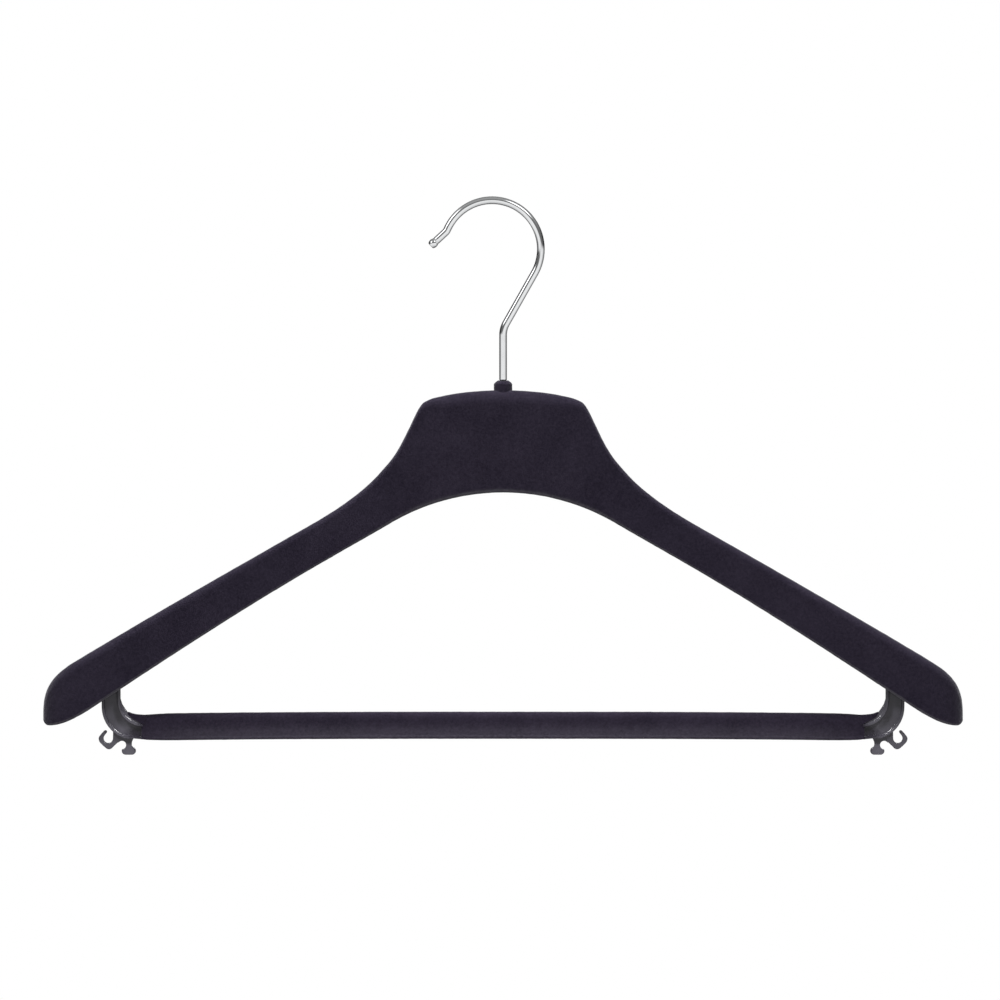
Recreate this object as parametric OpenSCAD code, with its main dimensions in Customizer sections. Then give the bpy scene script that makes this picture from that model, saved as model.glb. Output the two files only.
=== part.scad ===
// Flocked suit hanger: a swivelling wire hook, a moulded shoulder body with an open underside,
// and a moulded trouser bar that snaps up into both arms.
// Millimetres, +Z up, X along the width, Y through the depth. The swivel axis is X = 0, Y = 0,
// and Z = 0 is the underside of the hook's crown, where the hanger rests on a rail.

/* [Body] */
// Overall width across the shoulders
body_w = 450; // [440:1:460]
// Depth of the body at the neck
neck_depth = 14.5; // [13:0.5:18]
// Depth of the body near the shoulder ends
shoulder_depth = 25; // [20:0.5:34]
// Wall thickness of the moulded body
wall = 2; // [1.6:0.1:2.4]
// Radius of the arch under the neck
arch_r = 108.5; // [100:0.5:116]
// Thickness of the velvet flock on the body
flock_t = 0.6; // [0.4:0.1:0.8]

/* [Hook] */
// Diameter of the hook wire
wire_d = 3.8; // [3.4:0.1:4]
// Inside radius of the hook, which the rail sits in
rail_r = 22; // [20:0.5:23]
// Angle between the swivel axis and the straight part of the hook
hook_lean = 29.5; // [27:0.5:32]
// Radial clearance between the hook's shank and its bore
swivel_gap = 0.05; // [0.02:0.01:0.1]
// Diameter of the collar that the hook comes out of, over its flock
collar_d = 9; // [8.5:0.1:10]

/* [Trouser bar] */
// Height of the straight bar under its flock
bar_h = 12.5; // [12:0.1:13]
// Depth of the rims around the bar's ends
rim_depth = 7.6; // [6:0.2:9]
// Thickness of the rims around the bar's ends
rim = 1.3; // [0.9:0.1:1.6]
// Thickness of the web inside those rims
web_t = 2.2; // [1.6:0.1:3]
// Distance from the middle to the outside of the end risers
riser_x = 196.3; // [190:0.1:200]
// Width of the end risers
riser_w = 9; // [7:0.5:10]
// Thickness of the flock on the bar
bar_flock_t = 0.6; // [0.4:0.1:0.8]

/* [Skirt hooks] */
// Radius of the notch that a skirt loop sits in
notch_r = 2.3; // [2:0.1:2.6]
// Thickness of the skirt hook plates
hook_plate_t = 2.8; // [2:0.1:4]

/* [Hidden] */
$fn = 96;

half_w = body_w / 2;
wire_r = wire_d / 2;

// Heights of the body on the swivel axis
neck_top = -91.3;
arch_top = -141;
collar_top = neck_top + 5.1;
collar_edge = 2;
sleeve_bottom = neck_top - 3;
// Inside of the collar's flock, from its top down: [radius, height]
sleeve_inside = let (r = collar_d / 2 - flock_t, top = collar_top - flock_t)
    [[wire_r + 0.2, top], [r - collar_edge + 0.4, top], [r, top - collar_edge], [r, sleeve_bottom]];

// Hook: the main bend's centre, and where each bend starts and ends
bend_r = rail_r + wire_r;
bend_x = -5.4;
bend_z = -rail_r;
bend_end = 155;
low_r = 12;
tip_r = 5;
tip_turn = 22.5;
tip_run = 5.8;
bead_l = 3.7;
bead_seat = 1.2;
link_l = 0.6;
bend_overlap = 0.25;
bend_thinning = 0.02;
bead_r = 2.25;
bead_curve = 3;
lean_x = bend_x + bend_r * cos(hook_lean);
lean_z = bend_z - bend_r * sin(hook_lean);
knee_z = lean_z - lean_x / tan(hook_lean);
low_z = knee_z - low_r * tan(hook_lean / 2);

// Boss, washer and lock ring that hold the hook in the neck
boss_bottom = -112;
boss_r = 3.7;
journal_r = wire_r - 0.2;
shoulder_gap = 0.1;
ring_gap = 0.1;
washer_t = 0.8;
washer_r = 3.6;
ring_t = 0.8;
ring_r = 3.2;
groove_r = 1.3;
groove_top = boss_bottom - ring_gap - washer_t;
shank_end = groove_top - ring_t - 2;
shoulder_z = collar_top + shoulder_gap;

// Body outline, right half: [x, z, slope] where one stretch of the edge meets the next
top_knots = [[0, neck_top, 0], [33, -94.9, -0.25], [38.5, -97.1, -0.6], [43, -103.7, -2.15],
             [50, -118, -1.9], [60, -131.5, -1.14], [75, -144.9, -0.74], [104, -162.8, -0.57],
             [half_w - 19, -222, -0.6]];
arch_x = 55;
bottom_knots = [[arch_x, -156, -0.588], [100, -182, -0.59], [half_w - 25, -245.6, -0.66],
                [half_w - 3, -254.9, 0]];
tip_x = half_w - 19;
tip_drop = 18.3;
tip_power = 3.3;
low_corner = 3;

// Stations along the right half: the neck, its corner, the arm and the shoulder end
half_stations = [for (x = [0 : 10 : 20]) x, for (x = [28 : 3 : 58]) x, for (x = [70 : 21 : 196]) x,
                 for (a = [0 : 15 : 90]) tip_x + (half_w - tip_x) * sin(a)];
stations = [for (i = [len(half_stations) - 1 : -1 : 1]) -half_stations[i], each half_stations];
corner_steps = 4;

// Trouser bar: edge heights, and the end bends' centres
bar_end_x = 176;
bar_bottom = -262.5;
bar_bow = 0.96;
bow_power = 3;
bar_top = bar_bottom + bar_h;
bar_steps = 8;
bar_reach = 0.8;
channel_end = -4;
// Right half of the straight bar's section: [depth, height, direction that the surface faces]
bell = [[3.9, 0, 0], [4, 0.5, 0], [3.95, 0.95, 30], [3.55, 1.5, 30], [2.95, 3.5, 18], [2.45, 5.4, 12],
        [2.3, 7.8, 0], [2.3, bar_h - 2.5, 0], [2.05, bar_h - 1.4, 25], [1.45, bar_h - 0.5, 50],
        [0.6, bar_h, 80]];
// Right half of the channel in its underside: [depth, height]
channel = [[2.5, -1], [2.5, 1.4], [1.6, 3.5], [1.1, 5.4], [0.9, 8.4], [0.5, 9]];
outer_bend_r = 16.3;
outer_bend_x = riser_x - outer_bend_r;
outer_bend_z = -245.85;
inner_bend_r = 11.5;
inner_bend_x = riser_x - riser_w - inner_bend_r;
inner_bend_z = -242.9;
riser_top = -222;
// Lower edge of each end, from the bar outwards: [x, z]
end_sole = [[bar_end_x, -261.85], [181, -261.4], [riser_x + 1, -261.4]];
// Upper edge of the gusset that fills the inner bend, from the bar up to the riser: [x, z]
gusset_edge = [[bar_end_x, bar_top - 0.25], [178, -250.2], [181, -249.75], [183.7, -248.7], [185, -247],
               [186.4, -244.8], [riser_x - riser_w, -242]];

// Sockets that hold the risers inside the arms
socket_t = 1.6;
socket_gap = 0.2;
socket_top = -227;
socket_bottom = -235.2;
barb_out = 0.9;
barb_h = 2.4;

// Stiffening ribs inside the arms
rib_places = [76, 101, 126, 151];
rib_t = 1.4;
rib_inset = 2.2;

// Skirt hooks, loop studs and the saddle between them, below the risers
notch_x = 193.2;
notch_z = -261.4;
saddle_x = 186.5;
saddle_z = -264.7;
saddle_r = 2.05;
stud_x = 183.15;
stud_foot_z = -269.45;
stud_head_w = 6.9;
stud_round = 1.9;
stud_neck_w = 2.9;
stud_rise = 6;
// Tip of the hook's lip, from the notch's centre: [x, z]
tip_at = [1.4, 3.2];
tip_ball_r = 0.78;
// Outer edge of the skirt hook, from the lip's tip down and under to the saddle, from the notch's centre
hook_edge = [[1.9, 3.8], [3.3, 2.3], [4.4, 0.9], [4.75, -0.1], [4.5, -1.2], [4, -2.1], [2.4, -3.7],
             [1, -4.9], [0.3, -5.3], [-0.6, -5.4], [-1.2, -5.25], [-1.75, -4.9], [-2.9, -3.7],
             [-4.8, -1.95]];
// Inner edge of the plate, from the saddle up to the riser, from the notch's centre
plate_edge = [[saddle_x - notch_x, saddle_z - notch_z], [saddle_x - notch_x, 2.4], [-2.4, 4.4],
              [-notch_r, 0]];
// Inside of the lip, from the notch's centre out to the tip
lip_inside = [[0, 0], [1.7, 1.6], [0.8, 2.7]];
// Gap above the notch, round the inside of the lip, from the notch's centre
notch_gap = [[-notch_r, 0], [-notch_r, 6], [tip_at[0], 6], tip_at, each backwards(lip_inside)];
// Root of the plate beside the stud, from the stud's axis and the bar's underside: [x, z]
plate_root = [[-2.6, 0.8], [-stud_neck_w / 2, -2]];
// Slope from the stud's head up to its neck: half width and height above the head's middle
stud_slope = [[3.25, 0.45], [1.45, 2.6]];

// Smooth curve through two knots with the slopes that they state
function hermite(a, b, x) =
    let (h = b[0] - a[0], t = (x - a[0]) / h)
    (1 + 2 * t) * pow(1 - t, 2) * a[1] + t * pow(1 - t, 2) * h * a[2]
    + t * t * (3 - 2 * t) * b[1] + t * t * (t - 1) * h * b[2];
function along(knots, x, i = 0) =
    i >= len(knots) - 2 || x <= knots[i + 1][0]
        ? hermite(knots[i], knots[i + 1], x)
        : along(knots, x, i + 1);
function smooth(t) = let (u = max(0, min(1, t))) u * u * (3 - 2 * u);

// Height of the body's upper edge
function top_z(x) =
    let (a = min(abs(x), half_w), last = top_knots[len(top_knots) - 1])
    a <= tip_x ? along(top_knots, a)
               : last[1] + last[2] * (a - tip_x)
                 - tip_drop * (1 - pow(1 - pow((a - tip_x) / (half_w - tip_x), tip_power), 1 / tip_power));
// Height of the body's lower edge
function bottom_z(x) =
    let (a = min(abs(x), half_w), c = half_w - low_corner, low = bottom_knots[3][1])
    a <= arch_x ? arch_top - arch_r + sqrt(arch_r * arch_r - a * a)
    : a <= c ? along(bottom_knots, a)
    : low + low_corner - sqrt(pow(low_corner, 2) - pow(a - c, 2));
// Half of the body's depth at its lower edge, closing in a round end in plan
function half_depth(x) =
    let (a = abs(x), full = (neck_depth + (shoulder_depth - neck_depth) * smooth((a - 36) / 150)) / 2,
         u = max(0, (a - tip_x) / (half_w - tip_x)))
    max(1.2, full * pow(max(0, 1 - pow(u, 2.4)), 1 / 2.4));
// How far the rounding along the upper edges reaches, and how square it is
function edge_y(x) = 3.8 + 2.6 * smooth((abs(x) - 60) / 140);
function edge_z(x) = 4 + 3 * smooth((abs(x) - 60) / 140);
function edge_power(x) = 1.15 + 0.85 * smooth((abs(x) - 36) / 30);

// One section of a skin that lies w inside the body's outer surface: its lower front corner,
// over the top, to its lower back corner
function section(x, w) =
    let (e = 0.05, a = min(abs(x), half_w - e), side = sign(x),
         m = (top_z(a + e) - top_z(a - e)) / (2 * e),
         n = sqrt(1 + m * m), xt = side * (abs(x) + w * m / n), xb = x * (half_w - w) / half_w,
         zb = bottom_z(xb), zt = max(zb + 0.3, top_z(x) - w / n),
         d = max(0.8, half_depth(x) - w), r = min(0.8 * (zt - zb), edge_z(x)),
         ry = min(0.6 * d, edge_y(x)), p = 2 / edge_power(x), dt = d - min(0.5, 0.2 * d),
         up = [for (i = [0 : corner_steps])
                  let (t = 90 * i / corner_steps)
                  [dt - ry * (1 - pow(cos(t), p)), zt - r * (1 - pow(sin(t), p))]])
    [[xb, -d, zb], for (q = up) [xt, -q[0], q[1]],
     for (i = [corner_steps : -1 : 0]) [xt, up[i][0], up[i][1]], [xb, d, zb]];

// Closed solid between the surfaces that lie w0 and w1 inside the body's outer surface
module body_skin(w0, w1) {
    outer = [for (x = stations) section(x, w0)];
    inner = [for (x = stations) section(x, w1)];
    k = 2 * corner_steps + 4;
    rings = len(stations);
    points = [for (s = outer) each s, for (s = inner) each s];
    shift = rings * k;
    faces = [
        for (i = [0 : rings - 2], j = [0 : k - 2]) let (q = i * k + j) each
            [[q, q + 1, q + k + 1], [q, q + k + 1, q + k],
             [shift + q, shift + q + k + 1, shift + q + 1], [shift + q, shift + q + k, shift + q + k + 1]],
        for (i = [0 : rings - 2]) let (q = i * k, b = q + k - 1) each
            [[q, q + k, shift + q + k], [q, shift + q + k, shift + q],
             [b, shift + b, shift + b + k], [b, shift + b + k, b + k]],
        [for (j = [k - 1 : -1 : 0]) j],
        [for (j = [0 : k - 1]) shift + j],
        [for (j = [0 : k - 1]) shift - k + j],
        [for (j = [k - 1 : -1 : 0]) 2 * shift - k + j],
        [0, shift, shift + k - 1],
        [0, shift + k - 1, k - 1],
        [shift - k, shift - 1, 2 * shift - 1],
        [shift - k, 2 * shift - 1, 2 * shift - k]
    ];
    polyhedron(points = points, faces = faces, convexity = 8);
}

// Turned piece about the swivel axis, from an outline of [radius, height]
module turned(outline) {
    rotate_extrude() polygon(outline);
}

// Wire bend in the XZ plane, about [x, z], from angle a through sweep: the wire draws down
// a little where it is bent, and each bend reaches a little way into the straights beside it
module wire_bend(x, z, r, a, sweep) {
    over = bend_overlap / r * 180 / PI;
    translate([x, 0, z]) rotate([90, 0, 0]) rotate([0, 0, a - over])
        rotate_extrude(angle = sweep + 2 * over) translate([r, 0])
            circle(r = wire_r - bend_thinning, $fn = 48);
}

// Straight wire in the XZ plane from [x, z], at an angle up from +X
module wire_run(x, z, angle, length) {
    translate([x, 0, z]) rotate([0, 90 - angle, 0]) cylinder(r = wire_r, h = length, $fn = 48);
}

module hook() {
    start_x = bend_x + bend_r * cos(bend_end);
    start_z = bend_z + bend_r * sin(bend_end);
    turn_x = start_x - link_l * sin(bend_end) + tip_r * cos(bend_end);
    turn_z = start_z + link_l * cos(bend_end) + tip_r * sin(bend_end);
    from = bend_end - 180;
    run_x = turn_x + tip_r * cos(from - tip_turn);
    run_z = turn_z + tip_r * sin(from - tip_turn);
    heading = from - tip_turn - 90;
    low_x = low_r * (1 - cos(hook_lean));
    low_end_z = low_z + low_r * sin(hook_lean);
    run_l = (lean_z - low_end_z) / cos(hook_lean);
    color("silver") {
        turned([[0, shank_end], [journal_r - 0.3, shank_end], [journal_r, shank_end + 0.3],
                [journal_r, groove_top - ring_t], [groove_r, groove_top - ring_t],
                [groove_r, groove_top], [journal_r, groove_top], [journal_r, shoulder_z],
                [wire_r, shoulder_z], [wire_r, low_z], [0, low_z]]);
        wire_bend(low_r, low_z, low_r, 180 - hook_lean, hook_lean);
        wire_run(low_x, low_end_z, 90 - hook_lean, run_l);
        wire_bend(bend_x, bend_z, bend_r, -hook_lean, bend_end + hook_lean);
        wire_run(start_x, start_z, bend_end + 90, link_l);
        wire_bend(turn_x, turn_z, tip_r, from - tip_turn, tip_turn);
        wire_run(run_x, run_z, heading, tip_run + bead_seat);
        translate([run_x + tip_run * cos(heading), 0, run_z + tip_run * sin(heading)])
            rotate([0, 90 - heading, 0]) translate([0, 0, bead_l / 2]) bead();
    }
}

// Barrel-shaped bead upset on the end of the wire
module bead() {
    rotate_extrude() intersection() {
        translate([bead_r - bead_curve, 0]) circle(r = bead_curve);
        translate([0, -bead_l / 2]) square([bead_r + 1, bead_l]);
    }
}

module hook_washer() {
    top = boss_bottom - ring_gap;
    color("lightgray")
        turned([[journal_r + 0.1, top - washer_t], [washer_r, top - washer_t], [washer_r, top],
                [journal_r + 0.1, top]]);
}

// Push-on ring, sprung into the groove near the shank's end
module hook_lock_ring() {
    slack = 0.05;
    color("lightgray")
        turned([[groove_r + slack, groove_top - ring_t + slack], [ring_r, groove_top - ring_t + slack],
                [ring_r, groove_top - slack], [groove_r + slack, groove_top - slack]]);
}

// Socket ribs across one arm's inside, either side of the riser
module socket_ribs(side) {
    reach = shoulder_depth / 2 - flock_t - wall / 2;
    for (x = [riser_x - riser_w - socket_gap - socket_t, riser_x + socket_gap])
        translate([side > 0 ? x : -x - socket_t, -reach, socket_bottom])
            cube([socket_t, 2 * reach, socket_top - socket_bottom]);
}

// Stiffening rib across the inside of an arm
module cross_rib(x) {
    reach = half_depth(x) - flock_t - wall / 2;
    low = bottom_z(x) + rib_inset;
    high = top_z(x) - rib_inset - edge_z(x);
    translate([x - rib_t / 2, -reach, low]) cube([rib_t, 2 * reach, high - low]);
}

module hanger_body() {
    r = collar_d / 2;
    color("dimgray") difference() {
        union() {
            body_skin(flock_t, flock_t + wall);
            translate([0, 0, boss_bottom]) cylinder(r = boss_r, h = neck_top - boss_bottom);
            translate([0, 0, neck_top - 5]) cylinder(r = r - flock_t / 2, h = 5 + collar_top - neck_top);
            for (side = [-1, 1]) socket_ribs(side);
            for (x = rib_places, side = [-1, 1]) cross_rib(side * x);
        }
        translate([0, 0, boss_bottom - 1])
            cylinder(r = journal_r + swivel_gap, h = collar_top - boss_bottom + 2, $fn = 48);
        turned([[r, sleeve_bottom], [r, collar_top + 1], [0, collar_top + 1],
                [0, collar_top - flock_t], each sleeve_inside]);
    }
}

// Flock around the collar, sunk a little into the neck
module collar_sleeve() {
    r = collar_d / 2;
    turned([[r, sleeve_bottom], [r, collar_top - collar_edge], [r - collar_edge + 0.4, collar_top],
            [wire_r + 0.2, collar_top], each sleeve_inside]);
}

module body_flock() {
    color([0.15, 0.13, 0.18]) {
        difference() {
            body_skin(0, flock_t);
            translate([0, 0, neck_top - 4])
                cylinder(r = (collar_d - flock_t) / 2, h = 6);
        }
        collar_sleeve();
    }
}

// How far a place along the bar is lifted by its bow
function bow_at(x) = bar_bow * (1 - pow(min(1, abs(x) / bar_end_x), bow_power));
function backwards(list) = [for (i = [len(list) - 1 : -1 : 0]) list[i]];
// Closed outline over the bar and back under it, t outside its surface and running down by skirt
function bell_outline(t, skirt) =
    let (half = [[bell[0][0] + t, -skirt],
                 for (q = bell) if (q[1] > 0 || skirt > 0) [q[0] + t * cos(q[2]), q[1] + t * sin(q[2])]])
    both_sides(half);
function both_sides(half) = [for (q = half) [-q[0], q[1]], each backwards(half)];

// Closed outline of [y, height], the same both sides, swept along the bow and over longer than
// the straight bar at each end. Each end is closed in strips from one side to the other.
module bowed(outline, over) {
    ends = [for (i = [-bar_steps : bar_steps])
                abs(i) == bar_steps ? sign(i) * (bar_end_x + min(0, over)) : bar_end_x * i / bar_steps];
    places = over > 0 ? [-bar_end_x - over, each ends, bar_end_x + over] : ends;
    points = [for (x = places, q = outline) [x, q[0], bar_bottom + q[1] + bow_at(x)]];
    n = len(outline);
    last = len(places) - 1;
    faces = [
        for (i = [0 : last - 1], j = [0 : n - 1])
            let (a = i * n + j, b = i * n + (j + 1) % n) each [[a, b, b + n], [a, b + n, a + n]],
        for (j = [0 : n / 2 - 2])
            let (k = n - 1 - j, far = last * n) each
                [[j, k, k - 1], [j, k - 1, j + 1],
                 [far + j, far + k - 1, far + k], [far + j, far + j + 1, far + k - 1]]
    ];
    polyhedron(points = points, faces = faces, convexity = 6);
}

// Front outline of one end bend and riser, m inside its own edge
module riser_outline(m) {
    lift = [0, m];
    intersection() {
        difference() {
            union() {
                translate([outer_bend_x, outer_bend_z]) circle(r = outer_bend_r - m);
                translate([bar_end_x, outer_bend_z])
                    square([riser_x - bar_end_x - m, riser_top - outer_bend_z - m]);
                translate([bar_end_x, outer_bend_z - outer_bend_r])
                    square([outer_bend_x - bar_end_x, outer_bend_r]);
            }
            translate([inner_bend_x, inner_bend_z]) circle(r = inner_bend_r + m);
            translate([bar_end_x - 1, inner_bend_z])
                square([riser_x - riser_w - bar_end_x + 1 + m, riser_top - inner_bend_z + 1]);
        }
        polygon([for (q = end_sole) q + lift, [riser_x + 1, riser_top + 1], [bar_end_x, riser_top + 1]]);
    }
}

// Front outline of the gusset that fills the inner bend, out to the middle of its rim
module gusset_outline() {
    r = inner_bend_r + rim / 2;
    polygon([each gusset_edge,
             for (a = [4 : 17 : 72]) [inner_bend_x + r * cos(a), inner_bend_z - r * sin(a)],
             [bar_end_x, inner_bend_z - r]]);
}

// Front outline of one skirt hook, open at its upper inner side
module skirt_hook_outline() {
    translate([notch_x, notch_z]) {
        difference() {
            polygon([each hook_edge, each plate_edge, each lip_inside]);
            circle(r = notch_r);
            polygon(notch_gap);
        }
        translate(tip_at) circle(r = tip_ball_r);
    }
}

// Front outline of one loop stud: a neck and a rounded head
module stud_outline() {
    head_z = stud_foot_z + stud_round;
    slope = [for (q = stud_slope) [-q[0], q[1]]];
    translate([stud_x, head_z]) {
        translate([-stud_neck_w / 2, 0]) square([stud_neck_w, stud_rise]);
        translate([stud_round - stud_head_w / 2, -stud_round])
            square([stud_head_w - 2 * stud_round, 2 * stud_round]);
        for (s = [-1, 1]) translate([s * (stud_head_w / 2 - stud_round), 0]) circle(r = stud_round);
        polygon([each stud_slope, each backwards(slope)]);
    }
}

// Plate that carries the skirt hook and the stud
module hook_plate_outline() {
    sole = end_sole[1][1];
    difference() {
        union() {
            skirt_hook_outline();
            stud_outline();
            polygon([for (q = plate_root) [stud_x + q[0], sole + q[1]],
                     [stud_x - stud_neck_w / 2, saddle_z], [saddle_x, saddle_z],
                     [saddle_x, notch_z + plate_edge[1][1]]]);
        }
        translate([saddle_x, saddle_z]) circle(r = saddle_r);
        translate([outer_bend_x, outer_bend_z]) circle(r = outer_bend_r - rim);
    }
}

// Front outline drawn in XZ, centred on Y
module plate(depth) {
    rotate([90, 0, 0]) linear_extrude(depth, center = true) children();
}

module one_end() {
    plate(web_t) riser_outline(0);
    plate(rim_depth) difference() {
        riser_outline(0);
        riser_outline(rim);
    }
    plate(rim_depth - 2 * bar_flock_t) gusset_outline();
    plate(hook_plate_t) hook_plate_outline();
    for (s = [0, 1])
        translate([riser_x - s * riser_w, 0, socket_top + 0.2]) mirror([s, 0, 0])
            plate(rim_depth - 2)
                polygon([[-rim / 2, 0], [barb_out, 0], [barb_out, 0.6], [0, barb_h], [-rim / 2, barb_h]]);
}

// Straight part of the bar, which reaches a little way into each end, with a channel in its underside
module bar_core() {
    difference() {
        bowed(bell_outline(0, 0), bar_reach);
        bowed(both_sides(channel), channel_end);
    }
}

module whole_bar() {
    bar_core();
    one_end();
    mirror([1, 0, 0]) one_end();
}

module trouser_bar() {
    color([0.27, 0.27, 0.29]) whole_bar();
}

// Flock over the straight bar, down to its lower edge
module bar_flock() {
    color([0.16, 0.14, 0.19]) difference() {
        bowed(bell_outline(bar_flock_t, 0), 0);
        bowed(bell_outline(0, 1), 1);
    }
}

hook();
hook_washer();
hook_lock_ring();
hanger_body();
body_flock();
trouser_bar();
bar_flock();
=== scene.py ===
"""The looks of a flocked suit hanger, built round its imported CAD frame.

The frame gives the main sizes and places. Pieces that the CAD holds in plain form are made again
here in fine mesh: the velvet coat of the body, the velvet sleeve of the bar, the moulded trouser
bar and the hook's wire. Lengths below are in millimetres in the CAD's own axes, and MM turns them
into metres.
"""

import math

import bmesh
import bpy
import numpy as np
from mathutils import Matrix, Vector, noise


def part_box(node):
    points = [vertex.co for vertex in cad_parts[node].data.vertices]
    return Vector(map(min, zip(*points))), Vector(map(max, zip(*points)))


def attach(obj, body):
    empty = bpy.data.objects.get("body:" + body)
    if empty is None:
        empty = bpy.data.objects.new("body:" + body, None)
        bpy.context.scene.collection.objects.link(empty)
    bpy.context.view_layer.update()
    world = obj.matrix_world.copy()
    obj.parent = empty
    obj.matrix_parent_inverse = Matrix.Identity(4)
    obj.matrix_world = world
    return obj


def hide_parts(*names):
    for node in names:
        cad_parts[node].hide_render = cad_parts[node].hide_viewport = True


MM = 0.001
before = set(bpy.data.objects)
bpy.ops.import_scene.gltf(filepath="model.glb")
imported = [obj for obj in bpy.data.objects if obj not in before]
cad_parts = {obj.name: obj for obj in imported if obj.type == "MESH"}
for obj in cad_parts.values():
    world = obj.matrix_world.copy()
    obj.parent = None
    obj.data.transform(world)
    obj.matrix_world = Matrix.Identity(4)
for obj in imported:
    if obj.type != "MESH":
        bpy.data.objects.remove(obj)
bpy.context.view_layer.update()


def box_mm(node):
    """Lowest and highest corner of a CAD node, in millimetres."""
    low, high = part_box(node)
    return np.array(low) / MM, np.array(high) / MM


FLOCK_LOW, FLOCK_HIGH = box_mm("body_flock")
SLEEVE_LOW, SLEEVE_HIGH = box_mm("bar_flock")
BAR_HIGH = box_mm("trouser_bar")[1]
SHANK_FOOT = box_mm("hook")[0][2]
BOSS_FOOT = box_mm("hook_washer")[1][2]
BAR_END = 176.0  # where the straight bar meets a riser
BAR_BOW, BOW_POWER = 0.96, 3  # how far its middle rises, and how that rise runs out to its ends


# ---------------------------------------------------------------- camera

PHOTO_CENTRE = (-1.5, -144.8)
PHOTO_WIDTH = 489.4
CAMERA_DISTANCE = 4000
SENSOR = 36
CLIP_NEAR, CLIP_FAR = 100, 50000


def make_camera():
    """A long lens straight in front, so that the object fills the frame as in the photograph."""
    data = bpy.data.cameras.new("camera")
    data.sensor_width = SENSOR
    data.lens = SENSOR * CAMERA_DISTANCE / PHOTO_WIDTH
    data.clip_start, data.clip_end = CLIP_NEAR * MM, CLIP_FAR * MM
    camera = bpy.data.objects.new("camera", data)
    camera.location = (PHOTO_CENTRE[0] * MM, -CAMERA_DISTANCE * MM, PHOTO_CENTRE[1] * MM)
    camera.rotation_euler = (math.pi / 2, 0, 0)
    bpy.context.scene.collection.objects.link(camera)
    bpy.context.scene.camera = camera


make_camera()


# ---------------------------------------------------------------- node helpers


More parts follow.
